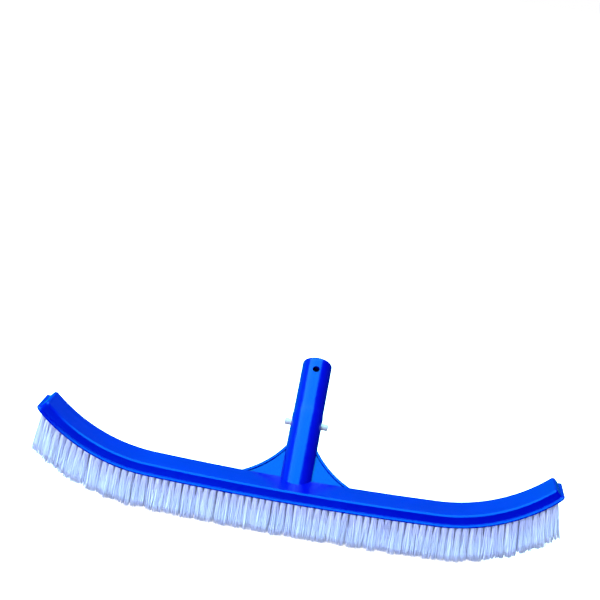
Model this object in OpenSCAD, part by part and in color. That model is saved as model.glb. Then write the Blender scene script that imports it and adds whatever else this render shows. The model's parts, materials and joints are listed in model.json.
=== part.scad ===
// Curved pool wall brush: a plastic back with a leaning tube for the pole moulded
// onto it, a two-button spring clip inside the tube, a plug in the tube's end, and
// staggered rows of bristle tufts, each held in a blind hole by a steel anchor.
// Units are millimetres. +Z is up, the bristles point down and end at z = 0 in
// the middle, X runs along the brush, and the tube leans back towards +Y.

/* [Back] */
// Length of the base, straight across from end to end
overall_len = 460; // [445:1:465]
// Length of the almost straight middle, along its curve
mid_arc = 254; // [240:2:266]
// Radius of the middle's slight bow
mid_r = 2900; // [2400:100:4000]
// Radius of each upswept end
end_r = 158; // [154:1:168]
// Width of the flat top of the hump
hump_w = 36; // [34:0.5:37]
// Height of the hump over the base
hump_h = 8; // [7.5:0.1:8.5]
// How much wider each wall of the hump is at its foot than at its top
hump_draft = 0.5; // [0.2:0.1:0.8]
// Width of the bevel along the top edges of the hump
hump_bevel = 1.2; // [0.6:0.1:1.6]
// How far the base stands out past the hump, front and back
lip_w = 2.8; // [2.4:0.1:3.2]
// How far the base stands out past the hump at each end
end_lip = 2; // [1.6:0.1:3]
// Thickness of the base
base_t = 2.3; // [2:0.1:2.6]
// Corner radius of the base, seen from above
base_corner_r = 5; // [3:0.5:6]
// Corner radius of the hump, seen from above
hump_corner_r = 3; // [2:0.5:4]

/* [Tube] */
// Lean of the tube from upright, towards the back
lean = 47; // [45:0.5:49]
// Where the tube's axis passes through the plane of the hump's top
foot_y = 23.8; // [23:0.1:24.5]
// Length of the tube from that plane, along its axis
tube_len = 118; // [112:1:124]
// Outside diameter of the tube's lower half
root_d = 28.2; // [28:0.1:28.4]
// Outside diameter of the tube's upper half, which enters the pole first
grip_d = 27.4; // [27:0.1:27.6]
// Inside diameter of the tube
bore_d = 22.4; // [22:0.1:22.8]
// Bevel around the end of the tube
mouth_bevel = 0.8; // [0.4:0.1:1]
// Diameter of the cross hole near the open end
cross_hole_d = 6.5; // [6:0.1:7]
// Distance from the end of the tube to the cross hole
cross_hole_drop = 12.7; // [11:0.1:15]

// Thickness of the face of the plug that closes the tube's end
plug_t = 2; // [1.6:0.1:3]
// Depth of the plug's skirt inside the tube
plug_skirt = 5.5; // [4:0.1:6]

/* [Webs] */
// Thickness of the two webs beside the tube
web_t = 3; // [2.4:0.2:3.6]
// Thickness of the bead along each web's free edge
bead_t = 5; // [4:0.2:5.4]
// Width of that bead
bead_w = 2.2; // [1.6:0.1:2.6]
// Radius of each web's hollow free edge
web_edge_r = 88; // [80:1:96]
// Height at which the free edge leaves the tube, along the tube's axis
web_rise = 28; // [26:0.5:30]
// Reach of the free edge from the axis, level with the hump's top
web_reach = 42; // [40:0.5:44]

/* [Clip] */
// Distance of the buttons from the plane of the hump's top, along the axis
button_v = 53.7; // [52:0.1:55]
// Diameter of each button
button_d = 6; // [5.8:0.1:6.2]
// Distance from the tube's axis to the end of each button
button_reach = 20; // [19.5:0.1:20.4]
// Distance of the clip's two knees from the plane of the hump's top
knee_v = 20; // [19:0.5:21]
// Distance of each knee from the tube's axis
knee_x = 6.1; // [5.8:0.1:6.3]
// Thickness of the clip's arms and bow
leaf_t = 1.9; // [1.7:0.1:2]
// Width of the clip's arms and bow
leaf_w = 8; // [7:0.2:8.4]
// Angle by which each arm spreads from the tube's axis
spread = 4.4; // [4:0.1:4.6]

/* [Bristles] */
// Free length under the base of the tufts along the middle arc
tuft_len = 33; // [30:0.5:36]
// Extra free length of the tufts at the two ends of the base
end_extra = 3; // [0:0.5:4]
// Distance between neighbouring tufts in a row, before it is trimmed to fit
tuft_pitch = 6.1; // [5.9:0.05:6.4]
// Distance between neighbouring rows
row_pitch = 6.5; // [6.2:0.1:6.7]
// Diameter of a tuft in its hole
tuft_d = 3.2; // [3:0.1:3.4]
// Diameter of a tuft at its tip
tip_d = 5; // [4.6:0.1:5.2]
// Lean of each tuft as a share of the slope of the base over it
fan = 0.2; // [0.2:0.05:0.4]
// Depth of each tuft hole
hole_depth = 6.5; // [6:0.1:7]

/* [Hidden] */
$fn = 72;
DEG = 180 / PI;
// Circle counts for the ends and for the long, gently bowed middle
SWEEP_FN = 256;
MID_FN = 1440;

// The underside of the base, in the XZ plane
mid_a = mid_arc / 2 / mid_r * DEG;
mid_x = mid_r * sin(mid_a);
mid_z = mid_r * (1 - cos(mid_a));
end_a = asin(sin(mid_a) + (overall_len / 2 - mid_x) / end_r);
half_arc = mid_arc / 2 + end_r * (end_a - mid_a) / DEG;
under_z = tuft_len;
base_w = hump_w + 2 * (hump_draft + lip_w);
back_h = base_t + hump_h;
top_z = under_z + back_h;

// The hump starts a little inside the base, so the two join as one solid
HUMP_SINK = 0.8;
// The ends lap into the middle by this much, and are this much smaller all round
JOINT_LAP = 1;
JOINT_SKIN = 0.02;
// The tube's foot is cut off level, just above the underside
FOOT_CUT = 1.2;
// The tube is drawn this far below the plane of the hump's top
FOOT_RUN = 40;
// The stepped middle of the tube, just above the buttons' slots
step_v = button_v + 8.3;
STEP_RUN = 3;
// The webs reach this far down inside the hump
WEB_LOW = -10;

// The end plug: its room in the bore, how far it sits in, its wall and its bevel
PLUG_GAP = 0.05;
PLUG_SINK = 0.5;
PLUG_WALL = 1.6;
PLUG_BEVEL = 0.4;

// Room around a button in its slot, and how far the slot runs up the tube
BUTTON_GAP = 0.6;
SLOT_RUN = 1.8;
BUTTON_TAPER = 0.3;
BUTTON_TAPER_END = 14.6;
BUTTON_BEVEL = 0.8;
ARM_PAST_BUTTON = 4.5;
KNEE_BEAD = 0.3;
KNEE_GAP = 0.15;
BOW_FLOOR_GAP = 0.2;
bow_r = knee_x + leaf_t / 2;
bore_floor_v = knee_v - bow_r - BOW_FLOOR_GAP;

// Tufts, their holes and their anchors
HOLE_GAP = 0.1;
TUFT_STRAIGHT = 1.6;
END_MARGIN = 8.6;
ROWS = 5;
ZONES = ["left", "middle", "right"];
ANCHOR = [3, 0.5, 1.1];
ANCHOR_GAP = 0.1;
tuft_bottom = hole_depth - ANCHOR[2] - 2 * ANCHOR_GAP;
// The rows reach END_MARGIN from each end, so their pitch is trimmed to suit
tufts_half = round((half_arc - END_MARGIN) / tuft_pitch);
pitch = (half_arc - END_MARGIN) / tufts_half;

// Slope of the underside at arc length s from the middle, in degrees
function slope(s) =
    sign(s) * (abs(s) <= mid_arc / 2
        ? abs(s) / mid_r * DEG
        : mid_a + (abs(s) - mid_arc / 2) / end_r * DEG);

// The underside's [x, z] at arc length s from the middle
function under(s) =
    let (a = abs(slope(s)))
    abs(s) <= mid_arc / 2
        ? [sign(s) * mid_r * sin(a), under_z + mid_r * (1 - cos(a))]
        : [sign(s) * (mid_x + end_r * (sin(a) - sin(mid_a))),
           under_z + mid_z + end_r * (cos(mid_a) - cos(a))];

// Arc lengths of the tufts of one row; every other row is shifted half a pitch
function row_stations(row) =
    row % 2 == 0
        ? [for (i = [-tufts_half : tufts_half]) i * pitch]
        : [for (i = [-tufts_half : tufts_half - 1]) (i + 0.5) * pitch];

// Free length of the tuft at arc length s
function free_len(s) =
    tuft_len + end_extra * max(0, abs(s) - mid_arc / 2) / (half_arc - mid_arc / 2);

function row_y(row) = (row - (ROWS - 1) / 2) * row_pitch;

function in_zone(s, zone) =
    zone == "left" ? s < -mid_arc / 2
    : zone == "right" ? s > mid_arc / 2
    : abs(s) <= mid_arc / 2;

// Turns an outline, drawn as [across, height over the underside], about the
// centre of an arc of radius r, from slope a0 to slope a1
module arc_sweep(r, a0, a1, fn) {
    rotate([-90, 0, 0])
        rotate_extrude(angle = a1 - a0, start = 90 - a1, $fn = fn)
            translate([r, 0])
                rotate(90)
                    children();
}

// Sweeps an outline along the middle of the underside
module middle_sweep() {
    translate([0, 0, under_z + mid_r])
        arc_sweep(mid_r, -mid_a, mid_a, MID_FN)
            children();
}

// Sweeps an outline along both upswept ends, stopping end_gap short of the tips.
// It starts inside the middle, so the three stretches overlap.
module end_sweeps(end_gap) {
    start_a = mid_a - JOINT_LAP / end_r * DEG;
    stop_a = end_a - end_gap / end_r * DEG;
    for (side = [0, 1])
        mirror([side, 0, 0])
            translate([mid_x - end_r * sin(mid_a), 0, under_z + mid_z + end_r * cos(mid_a)])
                arc_sweep(end_r, start_a, stop_a, SWEEP_FN)
                    children();
}

module base_outline(skin) {
    translate([skin - base_w / 2, skin])
        square([base_w - 2 * skin, base_t - 2 * skin]);
}

module hump_outline(skin) {
    foot = hump_w / 2 + hump_draft - skin;
    top = hump_w / 2 - skin;
    roof = back_h - skin;
    polygon([
        [-foot, HUMP_SINK], [foot, HUMP_SINK], [top, roof - hump_bevel],
        [top - hump_bevel, roof], [-top + hump_bevel, roof], [-top, roof - hump_bevel]
    ]);
}

// Cuts the four upright corners of a sweep to radius r; w is its width there
module round_corners(r, w, end_gap) {
    past = 4;
    stop_s = half_arc - end_gap;
    for (side = [0, 1], across = [0, 1])
        mirror([side, 0, 0])
            mirror([0, across, 0])
                translate([under(stop_s)[0], 0, under(stop_s)[1]])
                    rotate([0, -slope(stop_s), 0])
                        translate([-r, w / 2 - r, -past])
                            linear_extrude(height = back_h + 2 * past)
                                difference() {
                                    square(r + past);
                                    circle(r);
                                }
}

// Places children on the tube: Z runs up its axis, and X stays along the brush
module on_tube() {
    translate([0, foot_y, top_z])
        rotate([-lean, 0, 0])
            children();
}

module tube_outside() {
    rotate_extrude()
        polygon([
            [0, -FOOT_RUN], [root_d / 2, -FOOT_RUN], [root_d / 2, step_v],
            [grip_d / 2, step_v + STEP_RUN], [grip_d / 2, tube_len - mouth_bevel],
            [grip_d / 2 - mouth_bevel, tube_len], [0, tube_len]
        ]);
}

// The tube without its bore, cut off level at its foot
module tube_body() {
    size = 200;
    intersection() {
        on_tube()
            tube_outside();
        translate([-size / 2, -size / 4, under_z + FOOT_CUT])
            cube([size, size, size]);
    }
}

// Centre of the circle that cuts the web's hollow edge, in the web's plane
web_start = [root_d / 2, web_rise];
web_stop = [web_reach, 0];
web_chord = norm(web_stop - web_start);
web_out = [web_rise, web_reach - root_d / 2] / web_chord;
web_centre = (web_start + web_stop) / 2 + web_out * sqrt(web_edge_r * web_edge_r - web_chord * web_chord / 4);

module web_field() {
    translate([0, WEB_LOW])
        square([web_centre[0] - 20, web_rise - WEB_LOW + 3]);
}

module web_pair() {
    for (side = [0, 1])
        mirror([side, 0, 0])
            on_tube()
                rotate([90, 0, 0]) {
                    linear_extrude(height = web_t, center = true)
                        difference() {
                            web_field();
                            translate(web_centre)
                                circle(web_edge_r, $fn = SWEEP_FN);
                        }
                    linear_extrude(height = bead_t, center = true)
                        intersection() {
                            web_field();
                            translate(web_centre)
                                difference() {
                                    circle(web_edge_r + bead_w, $fn = SWEEP_FN);
                                    circle(web_edge_r, $fn = SWEEP_FN);
                                }
                        }
                }
}

module button_slots() {
    r = (button_d + BUTTON_GAP) / 2 + BUTTON_TAPER;
    on_tube()
        rotate([0, 90, 0])
            linear_extrude(height = 2 * root_d, center = true)
                translate([-button_v, 0]) {
                    circle(r);
                    translate([-SLOT_RUN, 0])
                        circle(r);
                    translate([-SLOT_RUN, -r])
                        square([SLOT_RUN, 2 * r]);
                }
}

module cross_hole() {
    on_tube()
        translate([0, 0, tube_len - cross_hole_drop])
            rotate([90, 0, 0])
                cylinder(d = cross_hole_d, h = 2 * root_d, center = true);
}

module bore() {
    on_tube()
        translate([0, 0, bore_floor_v])
            cylinder(d = bore_d, h = tube_len);
}

// Places children at the mouth of a tuft hole, with +Z down along the tuft
module on_tuft(s, y) {
    translate([under(s)[0], y, under(s)[1]])
        rotate([0, 180 - fan * slope(s), 0])
            children();
}

module tuft_holes() {
    mouth = 3;
    for (row = [0 : ROWS - 1], s = row_stations(row))
        on_tuft(s, row_y(row))
            translate([0, 0, -hole_depth])
                cylinder(d = tuft_d + HOLE_GAP, h = hole_depth + mouth, $fn = 24);
}

// The long blue block: base and hump, with the tuft holes in its underside
module back() {
    color("royalblue")
        difference() {
            union() {
                middle_sweep() {
                    base_outline(0);
                    hump_outline(0);
                }
                difference() {
                    end_sweeps(0)
                        base_outline(JOINT_SKIN);
                    round_corners(base_corner_r, base_w, 0);
                }
                difference() {
                    end_sweeps(end_lip)
                        hump_outline(JOINT_SKIN);
                    round_corners(hump_corner_r, hump_w + 2 * hump_draft, end_lip);
                }
            }
            tuft_holes();
        }
}

// The tube and its two webs, which join the top and the rear wall of the block
module socket() {
    color("dodgerblue")
        difference() {
            union() {
                tube_body();
                web_pair();
            }
            middle_sweep() {
                base_outline(0);
                hump_outline(0);
            }
            bore();
            button_slots();
            cross_hole();
        }
}

// The cup-shaped plug in the tube's end, which keeps the clip in
module end_plug() {
    r = bore_d / 2 - PLUG_GAP;
    top = tube_len - PLUG_SINK;
    color("mediumblue")
        on_tube()
            rotate_extrude()
                polygon([
                    [0, top - plug_t], [r - PLUG_WALL, top - plug_t],
                    [r - PLUG_WALL, top - plug_skirt], [r - PLUG_BEVEL, top - plug_skirt],
                    [r, top - plug_skirt + PLUG_BEVEL], [r, top - PLUG_BEVEL],
                    [r - PLUG_BEVEL, top], [0, top]
                ]);
}

// The round end of the clip, at the bottom of the tube's bore
module clip_bow() {
    color("white")
        on_tube()
            rotate([90, 0, 0])
                linear_extrude(height = leaf_w, center = true)
                    difference() {
                        translate([0, knee_v])
                            circle(bow_r);
                        translate([0, knee_v])
                            circle(bow_r - leaf_t);
                        translate([-2 * bow_r, knee_v])
                            square(4 * bow_r);
                        for (side = [-1, 1])
                            translate([side * knee_x, knee_v])
                                circle((leaf_t + KNEE_BEAD) / 2 + KNEE_GAP);
                    }
}

// One arm of the clip with its button, on the +X side
module clip_arm() {
    r = button_d / 2;
    arm_len = button_v - knee_v + ARM_PAST_BUTTON;
    on_tube() {
        translate([knee_x, 0, knee_v])
            rotate([90, spread, 0])
                linear_extrude(height = leaf_w, center = true) {
                    circle(d = leaf_t + KNEE_BEAD);
                    translate([-leaf_t / 2, 0])
                        square([leaf_t, arm_len]);
                }
        translate([0, 0, button_v])
            rotate([0, 90, 0])
                rotate_extrude()
                    polygon([
                        [0, knee_x + 2.6], [r + BUTTON_TAPER, knee_x + 2.6],
                        [r + BUTTON_TAPER, 10], [r, BUTTON_TAPER_END],
                        [r, button_reach - BUTTON_BEVEL],
                        [r - BUTTON_BEVEL, button_reach], [0, button_reach]
                    ]);
    }
}

module clip_arm_right() {
    color("white")
        clip_arm();
}

module clip_arm_left() {
    color("white")
        mirror([1, 0, 0])
            clip_arm();
}

// One tuft: a straight root in its hole, then a slow flare to the tip
module tuft(length) {
    rotate_extrude($fn = 32)
        polygon([
            [0, -tuft_bottom], [tuft_d / 2, -tuft_bottom], [tuft_d / 2, TUFT_STRAIGHT],
            [tip_d / 2, length], [0, length]
        ]);
}

// The tufts of one row that lie in one zone of the brush
module tuft_row(row, zone) {
    color("lavender")
        for (s = row_stations(row))
            if (in_zone(s, zone))
                on_tuft(s, row_y(row))
                    tuft(free_len(s));
}

// The steel anchors of one row in one zone, each at the bottom of its hole
module anchor_row(row, zone) {
    color("silver")
        for (s = row_stations(row))
            if (in_zone(s, zone))
                on_tuft(s, row_y(row))
                    translate([-ANCHOR[0] / 2, -ANCHOR[1] / 2, ANCHOR_GAP - hole_depth])
                        cube(ANCHOR);
}

back();
socket();
end_plug();
clip_bow();
clip_arm_left();
clip_arm_right();
for (row = [0 : ROWS - 1], zone = ZONES) {
    tuft_row(row, zone);
    anchor_row(row, zone);
}
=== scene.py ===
"""Looks of the curved pool wall brush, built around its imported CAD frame.

The blue moulding, the bristles and the clip are built here as finer meshes that
stand for their CAD nodes. They are drawn in millimetres and scaled at the end.
The floor, the lights and the camera are placed in metres.
"""

import json
import math

import bpy
import bmesh
import numpy as np
from mathutils import Matrix, Vector


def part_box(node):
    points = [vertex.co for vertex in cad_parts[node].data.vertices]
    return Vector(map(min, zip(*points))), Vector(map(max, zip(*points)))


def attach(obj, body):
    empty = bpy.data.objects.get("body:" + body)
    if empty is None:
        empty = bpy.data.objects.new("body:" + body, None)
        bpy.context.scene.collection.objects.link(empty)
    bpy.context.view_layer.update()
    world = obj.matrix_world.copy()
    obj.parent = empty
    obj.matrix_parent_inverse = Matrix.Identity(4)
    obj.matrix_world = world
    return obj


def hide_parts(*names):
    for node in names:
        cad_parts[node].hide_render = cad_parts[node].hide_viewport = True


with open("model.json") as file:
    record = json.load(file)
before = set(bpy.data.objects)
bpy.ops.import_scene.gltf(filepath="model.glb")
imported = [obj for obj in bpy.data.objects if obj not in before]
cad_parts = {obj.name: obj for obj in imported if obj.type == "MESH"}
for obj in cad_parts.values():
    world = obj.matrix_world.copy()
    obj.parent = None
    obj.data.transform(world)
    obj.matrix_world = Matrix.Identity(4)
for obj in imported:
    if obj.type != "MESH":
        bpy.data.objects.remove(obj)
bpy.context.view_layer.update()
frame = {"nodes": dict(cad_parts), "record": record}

MM = 0.001
TO_METRES = Matrix.Scale(MM, 4)
ACROSS = Vector((0, 1, 0))


# ---------------------------------------------------------------- sizes, in mm

def box_mm(node):
    low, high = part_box(node)
    return low / MM, high / MM


BACK_LOW, BACK_HIGH = box_mm("back")
OVERALL = BACK_HIGH.x - BACK_LOW.x
BASE_HALF_W = -BACK_LOW.y
UNDER_Z = BACK_LOW.z

# The line of the brush: a middle that is nearly straight, and two upswept ends.
MID_ARC = 254.0
MID_R = 2900.0
END_R = 158.0
MID_A = MID_ARC / 2 / MID_R
MID_X = MID_R * math.sin(MID_A)
MID_Z = MID_R * (1 - math.cos(MID_A))
END_A = math.asin(math.sin(MID_A) + (OVERALL / 2 - MID_X) / END_R)
HALF_ARC = MID_ARC / 2 + END_R * (END_A - MID_A)

# The block: a flat base and a narrower hump on top of it.
BASE_T = 2.3
HUMP_H = 8.0
BACK_H = BASE_T + HUMP_H
HUMP_FOOT_HALF = 18.5
HUMP_TOP_HALF = 18.0
END_LIP = 2.0
BASE_CORNER_R = 5.0
HUMP_CORNER_R = 3.0
LOW_ROUND = 0.4
FOOT_HOLLOW = 0.5
LIP_BEVEL, LIP_SOFT = 1.15, 0.25
TOP_BEVEL, TOP_SOFT = 1.45, 0.55

# The tube. Heights named _V run up its axis from the top of the hump.
TUBE_LEN = 118.0
ROOT_R = 14.1
GRIP_R = 13.7
BORE_R = 11.2
BORE_FLOOR = 12.75
STEP_V = 62.0
STEP_RUN = 3.0
FOOT_RUN = 40.0
FOOT_CUT = 1.2
MOUTH_BEVEL = 0.8
HOLE_R = 3.25
HOLE_DROP = 12.7

# The webs: flat plates whose hollow edge carries a bead.
WEB_R = 88.0
WEB_T = 3.0
WEB_RISE = 28.0
WEB_REACH = 42.0
WEB_LOW = -10.0
WEB_PAST = 3.0
WEB_ROOT = 2.0
BEAD_T = 5.6
BEAD_W = 2.4
BEAD_EDGE = 0.2

# The clip.
BUTTON_V = 53.7
BUTTON_R = 3.0
KNEE_V = 20.0
KNEE_X = 6.1
LEAF_T = 1.9
LEAF_W = 8.0
LEAF_EDGE = 0.35
LEAF_PAST = 4.5

# The tufts, in staggered rows.
TUFT_LEN = UNDER_Z
ROWS = 5
ROW_PITCH = 6.5
HOLE_DEPTH = 6.5
TUFT_HOLE_R = 1.65
TUFT_BOTTOM = 5.2
FAN = 0.2
END_EXTRA = 3.0
END_MARGIN = 8.6
PITCH_WANTED = 6.1
TUFTS_HALF = round((HALF_ARC - END_MARGIN) / PITCH_WANTED)
PITCH = (HALF_ARC - END_MARGIN) / TUFTS_HALF


# ------------------------------------------------------------- mesh utilities

def mesh_object(name, verts, faces):
    """A new object from millimetre points, with its faces turned outwards."""
    mesh = bpy.data.meshes.new(name)
    mesh.from_pydata([tuple(v) for v in verts], [], faces)
    bm = bmesh.new()
    bm.from_mesh(mesh)
    bmesh.ops.recalc_face_normals(bm, faces=bm.faces)
    bm.to_mesh(mesh)
    bm.free()
    obj = bpy.data.objects.new(name, mesh)
    bpy.context.scene.collection.objects.link(obj)
    return obj


def boolean(obj, tool, operation):
    """Joins or cuts obj with tool, which is then removed."""
    mod = obj.modifiers.new("cut", "BOOLEAN")
    mod.operation = operation
    mod.solver = "MANIFOLD"
    mod.object = tool
    graph = bpy.context.evaluated_depsgraph_get()
    graph.update()
    made = bpy.data.meshes.new_from_object(obj.evaluated_get(graph))
    obj.modifiers.clear()
    obj.data = made
    bpy.data.objects.remove(tool)


def shade(obj, degrees):
    """Smooth shading, with edges sharper than this angle left crisp."""
    obj.data.shade_smooth()
    obj.data.set_sharp_from_angle(angle=math.radians(degrees))


def dress(obj, body, slot, material, *nodes):
    """Gives a piece its material, its body and the CAD nodes it stands for. The slot is not used.
    """
    obj.data.materials.clear()
    obj.data.materials.append(material)
    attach(obj, body)
    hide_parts(*nodes)


def dress_mm(obj, *details):
    """The same for a piece that is still in millimetres."""
    obj.data.transform(TO_METRES)
    dress(obj, *details)


def revolve(name, profile, steps):
    """Turns (radius, height) points about Z. Points of radius 0 become poles."""
    verts, rings = [], []
    for r, z in profile:
        if r < 1e-9:
            rings.append([len(verts)])
            verts.append((0.0, 0.0, z))
        else:
            rings.append(list(range(len(verts), len(verts) + steps)))
            verts += [(r * math.cos(2 * math.pi * i / steps),
                       r * math.sin(2 * math.pi * i / steps), z) for i in range(steps)]
    faces = []
    for a, b in zip(rings, rings[1:]):
        for i in range(steps):
            j = (i + 1) % steps
            if len(a) == 1 and len(b) == 1:
                continue
            if len(a) == 1:
                faces.append((a[0], b[i], b[j]))
            elif len(b) == 1:
                faces.append((a[i], b[0], a[j]))
            else:
                faces.append((a[i], b[i], b[j], a[j]))
    return mesh_object(name, verts, faces)


def prism_faces(first, n):
    """Faces of a prism: n points from vertex first on, then the n points opposite them."""
    near = range(first, first + n)
    far = range(first + n, first + 2 * n)
    sides = [(near[i], near[(i + 1) % n], far[(i + 1) % n], far[i]) for i in range(n)]
    return [tuple(near), tuple(far)] + sides


def arc(cx, cy, r, a0, a1, n):
    """n + 1 points of an arc, angles in degrees."""
    return [(cx + r * math.cos(math.radians(a0 + (a1 - a0) * i / n)),
             cy + r * math.sin(math.radians(a0 + (a1 - a0) * i / n))) for i in range(n + 1)]


def sweep(name, section, path):
    """Moves a closed section along path, a list of (origin, u, v) frames in mm."""
    verts, faces, n = [], [], len(section)
    for origin, u, v in path:
        verts += [origin + u * a + v * b for a, b in section]
    for k in range(len(path) - 1):
        for i in range(n):
            j = (i + 1) % n
            faces.append((k * n + i, k * n + j, (k + 1) * n + j, (k + 1) * n + i))
    faces.append(tuple(range(n)))
    faces.append(tuple(range(len(verts) - n, len(verts))))
    return mesh_object(name, verts, faces)


def rounded_box_section(w, h, r, steps):
    """A closed rounded rectangle, w across and h high, about the origin."""
    pts = []
    for cx, cy, start in ((1, 1, 0), (-1, 1, 90), (-1, -1, 180), (1, -1, 270)):
        pts += arc(cx * (w / 2 - r), cy * (h / 2 - r), r, start, start + 90, steps)
    return pts


# ------------------------------------------------------- the line of the brush

MID_STEPS = 30
END_STEPS = 60


def slope(s):
    """The angle by which the line has turned at arc length s from the middle."""
    a = abs(s)
    turned = a / MID_R if a <= MID_ARC / 2 else MID_A + (a - MID_ARC / 2) / END_R
    return math.copysign(turned, s)


def under(s):
    """(x, z) of the underside at arc length s from the middle."""
    a = abs(slope(s))
    if abs(s) <= MID_ARC / 2:
        return math.copysign(MID_R * math.sin(a), s), UNDER_Z + MID_R * (1 - math.cos(a))
    x = MID_X + END_R * (math.sin(a) - math.sin(MID_A))
    return math.copysign(x, s), UNDER_Z + MID_Z + END_R * (math.cos(MID_A) - math.cos(a))


def bend(s, y, h):
    """The point h above the underside, at arc length s and y across."""
    a = slope(s)
    x, z = under(s)
    return Vector((x - h * math.sin(a), y, z + h * math.cos(a)))


def stations(end):
    """Arc lengths from -end to end: close together where the line is curved."""
    half = [MID_ARC / 2 * i / MID_STEPS for i in range(MID_STEPS)]
    half += [MID_ARC / 2 + (end - MID_ARC / 2) * i / END_STEPS for i in range(END_STEPS + 1)]
    return [-s for s in reversed(half[1:])] + half


# ------------------------------------------------------------------ the block

CORNER_STEPS = 8
SIDE_STEPS = 12
EDGE_STEPS = 4
SOFT_STEPS = 5


def block_ring(length, half_w, r, h, run):
    """One level of the block, a bent rounded rectangle, and its right-hand end."""
    pts = [(s, -half_w) for s in run]
    straight = half_w - r
    corner = [(length - r + r * math.sin(math.radians(90 * i / CORNER_STEPS)),
               -straight - r * math.cos(math.radians(90 * i / CORNER_STEPS)))
              for i in range(1, CORNER_STEPS + 1)]
    side = [(length, -straight + 2 * straight * i / SIDE_STEPS) for i in range(1, SIDE_STEPS)]
    right = corner + side + [(s, -y) for s, y in reversed(corner)]
    pts += right
    pts += [(s, half_w) for s in reversed(run)]
    pts += [(-s, -y) for s, y in right]
    return [bend(s, y, h) for s, y in pts], right


def soft_bevel(width, r):
    """(inset, depth) up a 45 degree bevel whose two edges are rounded to radius r."""
    lead = r * math.tan(math.radians(22.5))
    pts = []
    for i in range(SOFT_STEPS + 1):
        a = math.radians(45 * i / SOFT_STEPS)
        pts.append((r * (1 - math.cos(a)), width + lead - r * math.sin(a)))
    return pts + [(d, x) for x, d in reversed(pts)]


def block_levels():
    """(part, inset, height) from the bottom up: lower edge, lip, hollow corner, top."""
    quarter = [math.radians(90 * i / EDGE_STEPS) for i in range(EDGE_STEPS + 1)]
    levels = [("base", LOW_ROUND * (1 - math.sin(a)), LOW_ROUND * (1 - math.cos(a)))
              for a in quarter]
    levels += [("base", x, BASE_T - d) for x, d in soft_bevel(LIP_BEVEL, LIP_SOFT)]
    levels += [("hump", -FOOT_HOLLOW * (1 - math.sin(a)),
                BASE_T + FOOT_HOLLOW * (1 - math.cos(a))) for a in quarter]
    levels += [("hump", x, BACK_H - d) for x, d in soft_bevel(TOP_BEVEL, TOP_SOFT)]
    return levels


def block():
    """The base and the hump, built up from rings."""
    run = stations(HALF_ARC - BASE_CORNER_R)
    verts, rings, outlines = [], [], []
    for part, inset, h in block_levels():
        if part == "base":
            length, half_w, r = HALF_ARC - inset, BASE_HALF_W - inset, BASE_CORNER_R - inset
        else:
            up = (h - BASE_T) / HUMP_H
            half_w = HUMP_FOOT_HALF + (HUMP_TOP_HALF - HUMP_FOOT_HALF) * up - inset
            length, r = HALF_ARC - END_LIP - inset, HUMP_CORNER_R - inset
        pts, right = block_ring(length, half_w, r, h, run)
        rings.append(range(len(verts), len(verts) + len(pts)))
        outlines.append((right, h))
        verts += pts
    faces = []
    count = len(rings[0])
    for a, b in zip(rings, rings[1:]):
        for i in range(count):
            j = (i + 1) % count
            faces.append((a[i], a[j], b[j], b[i]))
    for ring, (right, h) in ((rings[0], outlines[0]), (rings[-1], outlines[-1])):
        cap(verts, faces, ring, right, h, run)
    return mesh_object("body", verts, faces)


def cap(verts, faces, ring, right, h, run):
    """Closes the block's top or bottom with a grid that meets the ring."""
    n_run, n_side = len(run), len(right)
    grid = []
    for j, s in enumerate(run):
        row = [ring[j]]
        for _, y in right:
            row.append(len(verts))
            verts.append(bend(s, y, h))
        row.append(ring[n_run + n_side + n_run - 1 - j])
        grid.append(row)
    for a, b in zip(grid, grid[1:]):
        for i in range(len(a) - 1):
            faces.append((a[i], b[i], b[i + 1], a[i + 1]))
    right_ids = [ring[n_run + i] for i in range(n_side)]
    left_ids = [ring[2 * n_run + n_side + i] for i in range(n_side)][::-1]
    for row, ids in ((grid[-1], right_ids), (grid[0], left_ids)):
        faces.append((row[0], ids[0], row[1]))
        for i in range(n_side - 1):
            faces.append((row[i + 1], ids[i], ids[i + 1], row[i + 2]))
        faces.append((row[-2], ids[-1], row[-1]))


# ------------------------------------------------------- the tube and its webs

# The pole's mount stands half way up the stretch between the step and the mouth.
spigot = next(m for m in frame["record"]["mounts"] if m["name"] == "pole_spigot")
TUBE_AXIS = Vector(spigot["axis"]).normalized()
SPIGOT_MID_V = (STEP_V + STEP_RUN + TUBE_LEN - MOUTH_BEVEL) / 2
TUBE_FOOT = Vector(spigot["pos_m"]) / MM - TUBE_AXIS * SPIGOT_MID_V
TUBE_Y = TUBE_AXIS.cross(Vector((1, 0, 0)))
ON_TUBE = Matrix((
    (1, TUBE_Y.x, TUBE_AXIS.x, TUBE_FOOT.x),
    (0, TUBE_Y.y, TUBE_AXIS.y, TUBE_FOOT.y),
    (0, TUBE_Y.z, TUBE_AXIS.z, TUBE_FOOT.z),
    (0, 0, 0, 1)))

THROUGH = 2 * ROOT_R


def on_tube(obj):
    """Moves a piece drawn upright, with Z as the tube's axis, to its place on the brush."""
    obj.data.transform(ON_TUBE)
    return obj


def tube_outside():
    rim, ease_r, ease_v = 0.9, 0.05, 0.4
    first_v, above_step, below_mouth = -20, 10, 6
    step_top = STEP_V + STEP_RUN
    profile = [(0, -FOOT_RUN), (ROOT_R, -FOOT_RUN)]
    profile += [(ROOT_R, v) for v in np.linspace(first_v, STEP_V, 12)]
    profile += [(GRIP_R + ease_r, step_top - ease_v), (GRIP_R, step_top)]
    profile += [(GRIP_R, v) for v in np.linspace(STEP_V + above_step, TUBE_LEN - below_mouth, 6)]
    profile += arc(GRIP_R - rim, TUBE_LEN - rim, rim, 0, 90, 6)
    profile += [(0, TUBE_LEN)]
    return on_tube(revolve("tube", profile, 128))


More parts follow.
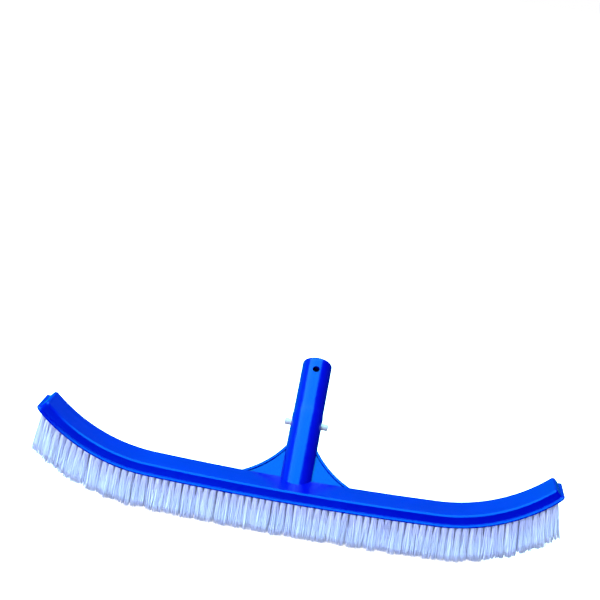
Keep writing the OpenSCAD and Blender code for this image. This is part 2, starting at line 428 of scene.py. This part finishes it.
def tube_bore():
    """The space in the tube, with a rounded mouth, as a solid to cut with."""
    mouth, floor_edge, past = 0.5, 0.6, 3
    first_v, below_mouth = 20, 6
    profile = [(0, BORE_FLOOR), (BORE_R - floor_edge, BORE_FLOOR),
               (BORE_R, BORE_FLOOR + floor_edge)]
    profile += [(BORE_R, v) for v in np.linspace(first_v, TUBE_LEN - below_mouth, 10)]
    profile += [(BORE_R + mouth - mouth * math.cos(a), TUBE_LEN - mouth + mouth * math.sin(a))
                for a in np.linspace(0, math.pi / 2, 5)]
    profile += [(BORE_R + mouth, TUBE_LEN + past), (0, TUBE_LEN + past)]
    return on_tube(revolve("bore", profile, 96))


def web_centre():
    """Centre of the circle of the web's hollow edge, in the web's plane."""
    start, stop = Vector((ROOT_R, WEB_RISE)), Vector((WEB_REACH, 0))
    chord = (stop - start).length
    out = Vector((WEB_RISE, WEB_REACH - ROOT_R)) / chord
    return (start + stop) / 2 + out * math.sqrt(WEB_R ** 2 - chord ** 2 / 4)


def web_parts(side):
    """The plate and the edge bead of one web; side is 1 or -1."""
    plate_steps, bead_steps = 40, 48
    c = web_centre()
    low_angle = 180 + math.degrees(math.asin((c.y - WEB_LOW) / WEB_R))
    high_angle = 180 + math.degrees(math.asin((c.y - WEB_RISE - WEB_PAST) / WEB_R))
    mid = WEB_R + BEAD_W / 2
    edge = arc(c.x, c.y, mid, low_angle, high_angle, plate_steps)
    outline = [(WEB_ROOT, WEB_LOW)] + edge + [(WEB_ROOT, edge[-1][1])]
    verts = [(side * x, y, v) for y in (-WEB_T / 2, WEB_T / 2) for x, v in outline]
    plate = mesh_object("plate", verts, prism_faces(0, len(outline)))
    path = []
    for i in range(bead_steps + 1):
        a = math.radians(low_angle + (high_angle - low_angle) * i / bead_steps)
        outward = Vector((side * math.cos(a), 0, math.sin(a)))
        path.append((Vector((side * c.x, 0, c.y)) + outward * mid, outward, ACROSS))
    bead = sweep("bead", rounded_box_section(BEAD_W, BEAD_T, BEAD_EDGE, 1), path)
    return on_tube(plate), on_tube(bead)


def slot_cutter():
    """The buttons' slots, right through the tube: wider and taller than the buttons."""
    room, travel, steps = 0.6, 1.8, 20
    r = BUTTON_R + room
    outline = arc(0, BUTTON_V + travel, r, 0, 180, steps) + arc(0, BUTTON_V, r, 180, 360, steps)
    verts = [(x, y, z) for x in (-THROUGH, THROUGH) for y, z in outline]
    return on_tube(mesh_object("slots", verts, prism_faces(0, len(outline))))


def hole_cutter():
    """The cross hole near the tube's mouth."""
    profile = [(0, -THROUGH), (HOLE_R, -THROUGH), (HOLE_R, THROUGH), (0, THROUGH)]
    cutter = revolve("hole", profile, 48)
    cutter.data.transform(Matrix.Rotation(math.pi / 2, 4, "X"))
    cutter.data.transform(Matrix.Translation((0, 0, TUBE_LEN - HOLE_DROP)))
    return on_tube(cutter)


# ------------------------------------------------------------- the tuft holes

def row_stations(row):
    """Arc lengths of a row's tufts; every other row is shifted by half a pitch."""
    if row % 2 == 0:
        return [i * PITCH for i in range(-TUFTS_HALF, TUFTS_HALF + 1)]
    return [(i + 0.5) * PITCH for i in range(-TUFTS_HALF, TUFTS_HALF)]


def row_y(row):
    return (row - (ROWS - 1) / 2) * ROW_PITCH


def tuft_frame(s, y):
    """Where a tuft's hole opens, the tuft's direction, and two directions across."""
    x, z = under(s)
    a = FAN * slope(s)
    return (Vector((x, y, z)), Vector((math.sin(a), 0, -math.cos(a))),
            Vector((math.cos(a), 0, math.sin(a))), ACROSS)


def tuft_holes():
    """All the tuft holes, as one mesh to cut with."""
    steps, past = 16, 3.0
    verts, faces = [], []
    for row in range(ROWS):
        for s in row_stations(row):
            origin, down, u, v = tuft_frame(s, row_y(row))
            faces += prism_faces(len(verts), steps)
            for d in (-HOLE_DEPTH, past):
                verts += [origin + down * d + (u * math.cos(t) + v * math.sin(t)) * TUFT_HOLE_R
                          for t in (2 * math.pi * i / steps for i in range(steps))]
    return mesh_object("tuft_holes", verts, faces)


# --------------------------------------------------------- the blue moulding

def level_box(low, high):
    verts = [(x, y, z) for x in (low[0], high[0]) for y in (low[1], high[1])
             for z in (low[2], high[2])]
    faces = [(0, 1, 3, 2), (4, 6, 7, 5), (0, 4, 5, 1), (2, 3, 7, 6), (0, 2, 6, 4), (1, 5, 7, 3)]
    return mesh_object("box", verts, faces)


def moulding():
    """Block, tube and webs as one piece. The tube's foot is cut level inside the block."""
    body = block()
    tube = tube_outside()
    room, height = 60, 200
    above = level_box((-room, -room, UNDER_Z + FOOT_CUT), (room, height, height))
    boolean(tube, above, "INTERSECT")
    for side in (1, -1):
        for part in web_parts(side):
            boolean(tube, part, "UNION")
    boolean(body, tube, "UNION")
    for tool in (tube_bore(), slot_cutter(), hole_cutter(), tuft_holes()):
        boolean(body, tool, "DIFFERENCE")
    shade(body, 32)
    return body


# ------------------------------------------------------- the clip and the plug

LEAF_SECTION = rounded_box_section(LEAF_T, LEAF_W, LEAF_EDGE, 3)


def knee_bead():
    """The round bead across an arm at its knee."""
    edge, thicker = 0.3, 0.3
    r, half_w = (LEAF_T + thicker) / 2, LEAF_W / 2
    profile = [(0, -half_w), (r - edge, -half_w), (r, -half_w + edge),
               (r, half_w - edge), (r - edge, half_w), (0, half_w)]
    bead = revolve("knee", profile, 32)
    bead.data.transform(Matrix.Rotation(math.pi / 2, 4, "X"))
    bead.data.transform(Matrix.Translation((KNEE_X, 0, KNEE_V)))
    return bead


def button():
    """A button: a wider foot on the leaf, a short taper, and a domed tip."""
    foot, foot_r, foot_end, taper_end = KNEE_X + 2.6, 3.3, 10, 14.6
    tip, dome_r, dome_drop, face_r, face_drop = 20.0, 1.0, 1.25, 1.2, 0.1
    profile = [(0, foot), (foot_r, foot), (foot_r, foot_end), (BUTTON_R, taper_end)]
    profile += [(BUTTON_R, x) for x in (taper_end + 1.4, tip - 2.5)]
    profile += arc(BUTTON_R - dome_r, tip - dome_drop, dome_r, 0, 70, 6)
    profile += [(face_r, tip - face_drop), (0, tip)]
    piece = revolve("button", profile, 48)
    piece.data.transform(Matrix.Rotation(math.pi / 2, 4, "Y"))
    piece.data.transform(Matrix.Translation((0, 0, BUTTON_V)))
    return piece


def arm(side):
    """One arm of the clip with its button; side is 1 or -1."""
    spread, steps = math.radians(4.4), 12
    length = BUTTON_V - KNEE_V + LEAF_PAST
    out = Vector((math.cos(spread), 0, -math.sin(spread)))
    up = Vector((math.sin(spread), 0, math.cos(spread)))
    knee = Vector((KNEE_X, 0, KNEE_V))
    path = [(knee + up * (length * i / steps), out, ACROSS) for i in range(steps + 1)]
    leaf = sweep("leaf", LEAF_SECTION, path)
    boolean(leaf, knee_bead(), "UNION")
    boolean(leaf, button(), "UNION")
    if side < 0:
        leaf.data.transform(Matrix.Scale(-1, 4, Vector((1, 0, 0))))
        leaf.data.flip_normals()
    leaf.name = "button_arm_right" if side > 0 else "button_arm_left"
    on_tube(leaf)
    shade(leaf, 35)
    return leaf


def bow():
    """The closed end of the clip: a half circle that stops short of both knees."""
    gap, steps = 12.0, 40
    path = []
    for i in range(steps + 1):
        a = math.radians(180 + gap + (180 - 2 * gap) * i / steps)
        outward = Vector((math.cos(a), 0, math.sin(a)))
        path.append((Vector((0, 0, KNEE_V)) + outward * KNEE_X, outward, ACROSS))
    piece = on_tube(sweep("bow", LEAF_SECTION, path))
    shade(piece, 35)
    return piece


def end_plug():
    """The cup-shaped plug in the tube's end, with a shallow dish in its face."""
    r, top, skirt, wall, face = 11.15, TUBE_LEN - 0.5, 5.5, 1.6, 2.0
    inner, lip, lead, edge = 0.5, 0.3, 0.4, 0.5
    dish_r, dish_slope, dish_depth = 5.0, 0.4, 0.35
    profile = [(0, top - face), (r - wall - inner, top - face), (r - wall, top - face - inner),
               (r - wall, top - skirt + lip), (r - wall + lip, top - skirt),
               (r - lead, top - skirt), (r, top - skirt + lead)]
    profile += arc(r - edge, top - edge, edge, 0, 90, 5)
    profile += [(dish_r, top), (dish_r - dish_slope, top - dish_depth), (0, top - dish_depth)]
    piece = on_tube(revolve("end_plug_moulding", profile, 72))
    shade(piece, 35)
    return piece


# --------------------------------------------------------------- the bristles

FILAMENTS = 72
SIDES = 4
# Rings up a filament: the first in mm below the hole's mouth, the rest as shares of its length.
HEIGHTS = (-TUFT_BOTTOM, 0.0, 0.12, 0.3, 0.55, 0.8, 1.0)

ROOT_SPREAD = 1.36
FLARE = 2.85
FLARE_POWER = 0.48
LEAN_POWER = 1.1
LONGEST = TUFT_LEN + 0.7
SHORTEST = TUFT_LEN - 3.5
RIM_SHORTER = 0.6
THICKNESS_RANGE = (0.2, 0.25)
WAVE_RANGE = (0.05, 0.2)
WAVE_TURNS = 9.0
WAVE_START = 6
TIP_TAPER = 0.8


def zone_of(s):
    """The stretch of the brush in which a tuft stands."""
    if abs(s) <= MID_ARC / 2:
        return "middle"
    return "left" if s < 0 else "right"


def varied(rng, tufts, middle, by_tuft, by_filament):
    """Values that differ from tuft to tuft, and a little more from filament to filament."""
    return (rng.normal(middle, by_tuft, (tufts, 1))
            + rng.normal(0, by_filament, (tufts, FILAMENTS)))


def filaments(row, places, seed):
    """Points in metres, ring by ring, and a tone for each filament of these tufts."""
    rng = np.random.RandomState(seed)
    n = len(places)
    each = (n, FILAMENTS)
    frames = [tuft_frame(s, row_y(row)) for s in places]
    origin, down, across_u, across_v = (np.array([f[k] for f in frames])[:, None, None, :]
                                        for k in range(4))

    # Roots fill a disc evenly, in a sunflower pattern that is turned from tuft to tuft.
    i = np.arange(FILAMENTS)
    root_r = ROOT_SPREAD * np.sqrt((i + 0.5) / FILAMENTS)
    root_a = i * math.pi * (3 - math.sqrt(5))
    turn = rng.uniform(0, 2 * math.pi, (n, 1))
    ru = root_r * np.cos(root_a + turn)
    rv = root_r * np.sin(root_a + turn)

    flare = varied(rng, n, FLARE, by_tuft=0.16, by_filament=0.25)
    lean_u = varied(rng, n, 0, by_tuft=0.8, by_filament=0.8)
    lean_v = varied(rng, n, 0, by_tuft=0.5, by_filament=0.6)
    outward = np.clip((np.abs(places) - MID_ARC / 2) / (HALF_ARC - MID_ARC / 2), 0, 1)
    length = LONGEST + END_EXTRA * outward[:, None] - np.abs(rng.normal(0, 1.0, (n, 1)))
    rim = (root_r / root_r.max()) ** 2
    length = length - rng.gamma(1.5, 0.45, each) - RIM_SHORTER * rim
    length = np.maximum(length, SHORTEST)
    radius = rng.uniform(*THICKNESS_RANGE, each)
    phase = rng.uniform(0, 2 * math.pi, each)
    wave = rng.uniform(*WAVE_RANGE, each)
    spin = rng.uniform(0, 2 * math.pi, each)
    tone = np.clip(rng.normal(0.5, 0.2, each) + rng.normal(0, 0.1, (n, 1)), 0, 1)

    rings = []
    for t in HEIGHTS:
        share = max(t, 0.0)
        along = length * share if t >= 0 else np.full_like(length, t)
        wide = 1 + (flare - 1) * share ** FLARE_POWER
        sway = wave * np.sin(phase + share * WAVE_TURNS) * min(1.0, share * WAVE_START)
        u = ru * wide + lean_u * share ** LEAN_POWER + sway
        v = rv * wide + lean_v * share ** LEAN_POWER + sway * np.cos(phase)
        thick = radius * (1.0 if t < 1 else TIP_TAPER)
        ring = []
        for q in range(SIDES):
            a = spin + 2 * math.pi * q / SIDES
            ring.append(np.stack([along, u + thick * np.cos(a), v + thick * np.sin(a)], axis=-1))
        rings.append(np.stack(ring, axis=2))
    local = np.stack(rings, axis=2).reshape(n, FILAMENTS, -1, 3)
    points = (origin + down * local[..., 0:1] + across_u * local[..., 1:2]
              + across_v * local[..., 2:3])
    return points.reshape(-1, 3) * MM, tone.ravel()


def filament_faces(count):
    """Vertex numbers of all the quads of this many filaments, sides and both ends."""
    quads = []
    for k in range(len(HEIGHTS) - 1):
        for q in range(SIDES):
            p = (q + 1) % SIDES
            quads.append((k * SIDES + q, k * SIDES + p, (k + 1) * SIDES + p, (k + 1) * SIDES + q))
    per_filament = len(HEIGHTS) * SIDES
    quads.append(tuple(range(per_filament - SIDES, per_filament)))
    quads.append(tuple(reversed(range(SIDES))))
    starts = (np.arange(count) * per_filament)[:, None, None]
    return (np.array(quads)[None, :, :] + starts).reshape(-1, 4)


def bristle_row(row, zone, seed):
    """All the filaments of one row in one zone, as one mesh."""
    places = [s for s in row_stations(row) if zone_of(s) == zone]
    points, tones = filaments(row, places, seed)
    faces = filament_faces(len(tones))
    mesh = bpy.data.meshes.new("bristles")
    mesh.vertices.add(len(points))
    mesh.vertices.foreach_set("co", points.astype(np.float32).ravel())
    mesh.loops.add(faces.size)
    mesh.loops.foreach_set("vertex_index", faces.astype(np.int32).ravel())
    mesh.polygons.add(len(faces))
    mesh.polygons.foreach_set("loop_start", np.arange(0, faces.size, 4, dtype=np.int32))
    mesh.update(calc_edges=True)
    mesh.validate()
    mesh.shade_smooth()
    mesh.set_sharp_from_angle(angle=math.radians(100))
    tone = mesh.attributes.new("tone", "FLOAT", "POINT")
    per_filament = len(HEIGHTS) * SIDES
    tone.data.foreach_set("value", np.repeat(tones, per_filament).astype(np.float32))
    obj = bpy.data.objects.new(f"bristles_row{row + 1}_{zone}", mesh)
    bpy.context.scene.collection.objects.link(obj)
    return obj


# ------------------------------------------------------------------ materials

def new_material(name):
    """A new material, its node tree and its main shader."""
    mat = bpy.data.materials.new(name)
    mat.use_nodes = True
    tree = mat.node_tree
    return mat, tree, tree.nodes["Principled BSDF"]


def noise(tree, scale, detail, roughness=0.5):
    """Noise in the piece's own coordinates."""
    coord = next((n for n in tree.nodes if n.bl_idname == "ShaderNodeTexCoord"), None)
    coord = coord or tree.nodes.new("ShaderNodeTexCoord")
    node = tree.nodes.new("ShaderNodeTexNoise")
    node.inputs["Scale"].default_value = scale
    node.inputs["Detail"].default_value = detail
    node.inputs["Roughness"].default_value = roughness
    tree.links.new(coord.outputs["Object"], node.inputs["Vector"])
    return node.outputs["Fac"]


def colour_by(tree, shader, source, *stops):
    """Drives the base colour through a ramp of (position, colour) stops."""
    node = tree.nodes.new("ShaderNodeValToRGB")
    elements = node.color_ramp.elements
    while len(elements) < len(stops):
        elements.new(0.5)
    for element, (at, colour) in zip(elements, stops):
        element.position = at
        element.color = (*colour, 1.0)
    tree.links.new(source, node.inputs["Fac"])
    tree.links.new(node.outputs["Color"], shader.inputs["Base Color"])


def roughness_by(tree, shader, source, low, high):
    """Spreads the roughness between low and high."""
    node = tree.nodes.new("ShaderNodeMapRange")
    node.inputs["To Min"].default_value = low
    node.inputs["To Max"].default_value = high
    tree.links.new(source, node.inputs["Value"])
    tree.links.new(node.outputs["Result"], shader.inputs["Roughness"])


def bump_by(tree, shader, source, strength, distance):
    node = tree.nodes.new("ShaderNodeBump")
    node.inputs["Strength"].default_value = strength
    node.inputs["Distance"].default_value = distance
    tree.links.new(source, node.inputs["Height"])
    tree.links.new(node.outputs["Normal"], shader.inputs["Normal"])


def blue_plastic():
    mat, tree, shader = new_material("blue_plastic")
    colour_by(tree, shader, noise(tree, scale=22.0, detail=4.0, roughness=0.55),
              (0.3, (0.0, 0.0, 0.285)), (0.7, (0.0, 0.001, 0.325)))
    roughness_by(tree, shader, noise(tree, scale=90.0, detail=3.0), low=0.17, high=0.27)
    bump_by(tree, shader, noise(tree, scale=700.0, detail=2.0), strength=0.05, distance=0.0002)
    shader.inputs["IOR"].default_value = 1.44
    shader.inputs["Specular Tint"].default_value = (0.0, 0.72, 1.0, 1.0)
    return mat


def white_plastic():
    mat, tree, shader = new_material("white_plastic")
    colour_by(tree, shader, noise(tree, scale=60.0, detail=3.0),
              (0.3, (0.37, 0.35, 0.36)), (0.7, (0.41, 0.38, 0.39)))
    roughness_by(tree, shader, noise(tree, scale=150.0, detail=2.0), low=0.3, high=0.42)
    bump_by(tree, shader, noise(tree, scale=900.0, detail=2.0), strength=0.06, distance=0.0002)
    return mat


def nylon():
    """Bristle nylon, whose tone differs from filament to filament."""
    mat, tree, shader = new_material("bristle_nylon")
    tone = tree.nodes.new("ShaderNodeAttribute")
    tone.attribute_name = "tone"
    colour_by(tree, shader, tone.outputs["Fac"],
              (0.0, (0.66, 0.73, 0.98)), (0.5, (0.75, 0.82, 1.0)), (1.0, (0.84, 0.90, 1.0)))
    roughness_by(tree, shader, noise(tree, scale=300.0, detail=2.0), low=0.5, high=0.65)
    return mat


def steel():
    mat, tree, shader = new_material("anchor_steel")
    colour_by(tree, shader, noise(tree, scale=400.0, detail=3.0),
              (0.3, (0.42, 0.42, 0.44)), (0.7, (0.60, 0.60, 0.62)))
    roughness_by(tree, shader, noise(tree, scale=800.0, detail=2.0), low=0.25, high=0.4)
    shader.inputs["Metallic"].default_value = 1.0
    return mat


# --------------------------------------------------------------- the assembly

BLUE, WHITE, NYLON, STEEL = blue_plastic(), white_plastic(), nylon(), steel()

dress_mm(moulding(), "brush", "blue_plastic", BLUE, "back", "socket")
dress_mm(end_plug(), "brush", "blue_plastic", BLUE, "end_plug")
dress_mm(arm(1), "right_arm", "white_plastic", WHITE, "clip_arm_right")
dress_mm(arm(-1), "left_arm", "white_plastic", WHITE, "clip_arm_left")
dress_mm(bow(), "brush", "white_plastic", WHITE, "clip_bow")

for row in range(ROWS):
    for z, zone in enumerate(("left", "middle", "right")):
        bristles = bristle_row(row, zone, 100 * row + z)
        dress(bristles, "brush", "bristle", NYLON, f"tufts_row{row + 1}_{zone}")
        anchors = frame["nodes"][f"anchors_row{row + 1}_{zone}"]
        anchors.data.materials.clear()
        anchors.data.materials.append(STEEL)


# ------------------------------------------------------------------ the scene

FLOOR_Z = -0.0008
FLOOR_HALF = 30.0
LIT_POINT = (0, 0.03, 0.05)
CAMERA_PLACE = (0.04441, -1.26952, 0.50124)
CAMERA_DEGREES = (2.9027, 12.9966, -8.9191)
SENSOR_WIDTH, LENS = 36.0, 92.082

scene = bpy.context.scene
scene.view_settings.view_transform = "Standard"
scene.view_settings.look = "None"


def pale_floor():
    """A floor that shines white by itself, and neither lights nor tints the brush."""
    bm = bmesh.new()
    bmesh.ops.create_grid(bm, x_segments=8, y_segments=8, size=FLOOR_HALF)
    mesh = bpy.data.meshes.new("floor")
    bm.to_mesh(mesh)
    bm.free()
    obj = bpy.data.objects.new("floor", mesh)
    scene.collection.objects.link(obj)
    obj.location = (0, 0, FLOOR_Z)
    mat, tree, shader = new_material("floor_white")
    colour_by(tree, shader, noise(tree, scale=3.0, detail=3.0),
              (0.0, (0.84, 0.84, 0.84)), (1.0, (0.86, 0.86, 0.86)))
    shader.inputs["Roughness"].default_value = 0.9
    shader.inputs["Specular IOR Level"].default_value = 0.1
    shader.inputs["Emission Color"].default_value = (1, 1, 1, 1)
    shader.inputs["Emission Strength"].default_value = 1.0
    mesh.materials.append(mat)
    obj.visible_glossy = False
    obj.visible_diffuse = False


def softbox(name, place, target, size_x, size_y, radiance, colour, reflected=True):
    """A rectangular light at place that faces target."""
    data = bpy.data.lights.new(name, "AREA")
    data.shape = "RECTANGLE"
    data.size, data.size_y = size_x, size_y
    data.energy = radiance * math.pi * size_x * size_y
    data.color = colour
    obj = bpy.data.objects.new(name, data)
    scene.collection.objects.link(obj)
    obj.location = place
    obj.rotation_mode = "QUATERNION"
    obj.rotation_quaternion = (Vector(target) - Vector(place)).to_track_quat("-Z", "Y")
    obj.visible_glossy = reflected


def studio():
    softbox("overhead", (-0.33, -0.12, 1.15), (-0.33, -0.12, 0.0), size_x=1.75, size_y=1.25,
            radiance=7.2, colour=(0.42, 1.0, 1.0))
    softbox("front", (-0.9, -1.85, 0.45), LIT_POINT, size_x=2.0, size_y=1.2,
            radiance=10.5, colour=(0.56, 0.635, 1.0), reflected=False)
    softbox("back", (0.7, 1.8, 0.6), LIT_POINT, size_x=1.6, size_y=1.2,
            radiance=4.5, colour=(0.62, 0.72, 1.0), reflected=False)


def background(tree, colour, strength):
    node = tree.nodes.new("ShaderNodeBackground")
    node.inputs["Color"].default_value = (*colour, 1)
    node.inputs["Strength"].default_value = strength
    return node


def surroundings():
    """The world: white to the eye, a soft fill, and a cyan side that only reflections see."""
    world = bpy.data.worlds.new("studio")
    world.use_nodes = True
    tree = world.node_tree
    tree.nodes.clear()
    seen = background(tree, (1, 1, 1), 1.0)
    fill = background(tree, (0.86, 0.92, 1.0), 0.38)
    mirrored = background(tree, (0.0, 0.85, 1.0), 1.0)

    # The reflected side brightens towards the left and the back.
    where = tree.nodes.new("ShaderNodeTexCoord")
    towards = tree.nodes.new("ShaderNodeVectorMath")
    towards.operation = "DOT_PRODUCT"
    towards.inputs[1].default_value = (-0.8, 0.6, 0.0)
    brighten = tree.nodes.new("ShaderNodeMapRange")
    brighten.inputs["From Min"].default_value = 0.0
    brighten.inputs["From Max"].default_value = 0.9
    brighten.inputs["To Min"].default_value = 0.02
    brighten.inputs["To Max"].default_value = 0.78
    tree.links.new(where.outputs["Generated"], towards.inputs[0])
    tree.links.new(towards.outputs["Value"], brighten.inputs["Value"])
    tree.links.new(brighten.outputs["Result"], mirrored.inputs["Strength"])

    path = tree.nodes.new("ShaderNodeLightPath")
    by_gloss = tree.nodes.new("ShaderNodeMixShader")
    by_camera = tree.nodes.new("ShaderNodeMixShader")
    out = tree.nodes.new("ShaderNodeOutputWorld")
    tree.links.new(path.outputs["Is Glossy Ray"], by_gloss.inputs["Fac"])
    tree.links.new(fill.outputs[0], by_gloss.inputs[1])
    tree.links.new(mirrored.outputs[0], by_gloss.inputs[2])
    tree.links.new(path.outputs["Is Camera Ray"], by_camera.inputs["Fac"])
    tree.links.new(by_gloss.outputs[0], by_camera.inputs[1])
    tree.links.new(seen.outputs[0], by_camera.inputs[2])
    tree.links.new(by_camera.outputs[0], out.inputs["Surface"])
    scene.world = world


def camera():
    """The main view: nearly square on, from a little above, and tilted."""
    azimuth, elevation, roll = (math.radians(a) for a in CAMERA_DEGREES)
    forward = Vector((-math.sin(azimuth) * math.cos(elevation),
                      math.cos(azimuth) * math.cos(elevation), -math.sin(elevation)))
    right = Vector((math.cos(azimuth), math.sin(azimuth), 0))
    up = right.cross(forward)
    x_axis = right * math.cos(roll) - up * math.sin(roll)
    y_axis = right * math.sin(roll) + up * math.cos(roll)
    data = bpy.data.cameras.new("camera")
    data.sensor_width = SENSOR_WIDTH
    data.lens = LENS
    data.clip_start, data.clip_end = 0.05, 200.0
    obj = bpy.data.objects.new("camera", data)
    scene.collection.objects.link(obj)
    turn = Matrix((x_axis, y_axis, -forward)).transposed()
    obj.matrix_world = Matrix.Translation(Vector(CAMERA_PLACE)) @ turn.to_4x4()
    scene.camera = obj


pale_floor()
studio()
surroundings()
camera()
